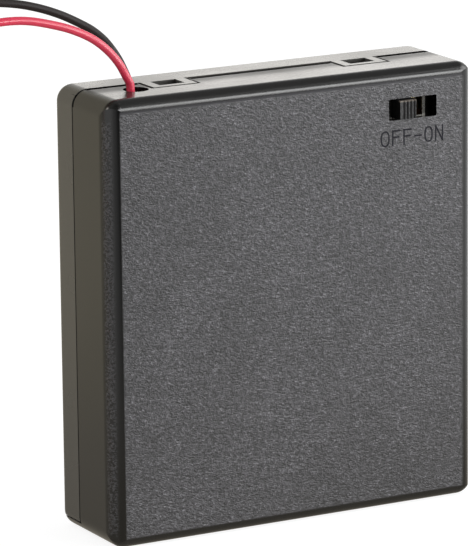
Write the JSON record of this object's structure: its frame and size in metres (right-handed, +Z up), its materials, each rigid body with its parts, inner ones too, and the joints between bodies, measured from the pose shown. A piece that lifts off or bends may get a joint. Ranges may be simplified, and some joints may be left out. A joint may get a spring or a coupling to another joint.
{
  "type": "aa battery holder",
  "caption": "Closed battery box for cylindrical cells side by side, with a clipped rear cover, a slide switch in the front wall and red and black flying leads.",
  "frame": {"origin": "middle of the foot's outline, on the surface that the box stands on", "axes": "+Z up along the cells to the head with the lead hole, +X to the right seen from the front, +Y from the switch face to the cover"},
  "size_m": [0.1073, 0.019, 0.0867],
  "materials": {
    "case_plastic": "spark-eroded grain on the front face, satin edges",
    "cover_plastic": "satin",
    "switch_steel": "bright plated sheet",
    "switch_board": "laminate",
    "terminal_brass": "plated brass",
    "knob_plastic": "satin",
    "contact_nickel": "nickel plated sheet",
    "spring_nickel": "nickel plated wire",
    "lead_red": "soft insulation",
    "lead_black": "soft insulation",
    "solder": "bright solder",
    "tinned_wire": "tinned strands"
  },
  "bodies": {
    "case": {"case_tub": "case_plastic", "switch_frame": "switch_steel", "switch_base": "switch_board", "terminal_off": "terminal_brass", "terminal_common": "terminal_brass", "terminal_on": "terminal_brass", "contact_positive": "contact_nickel", "contact_negative": "contact_nickel", "bridge_head": "contact_nickel", "bridge_foot_left": "contact_nickel", "bridge_foot_right": "contact_nickel", "spring_1": "spring_nickel", "spring_2": "spring_nickel", "spring_3": "spring_nickel", "spring_4": "spring_nickel", "inner_lead_red": "lead_red", "inner_lead_black": "lead_black", "jumper_lead": "lead_black", "solder_positive": "solder", "solder_negative": "solder", "solder_common": "solder", "solder_on": "solder", "lead_red": "lead_red", "lead_black": "lead_black", "lead_red_tip": "tinned_wire", "lead_black_tip": "tinned_wire"},
    "cover": {"case_cover": "cover_plastic"},
    "slider": {"switch_knob": "knob_plastic", "switch_wiper": "terminal_brass"}
  },
  "joints": [
    {"name": "cover_hinge", "type": "hinge", "parent": "case", "child": "cover", "pos_m": [0, 0.00955, 0.00175], "axis": [-1, 0, 0], "range_deg": [0, 50]},
    {"name": "switch_slide", "type": "slide", "parent": "case", "child": "slider", "axis": [1, 0, 0], "range_m": [0, 0.0025]}
  ]
}
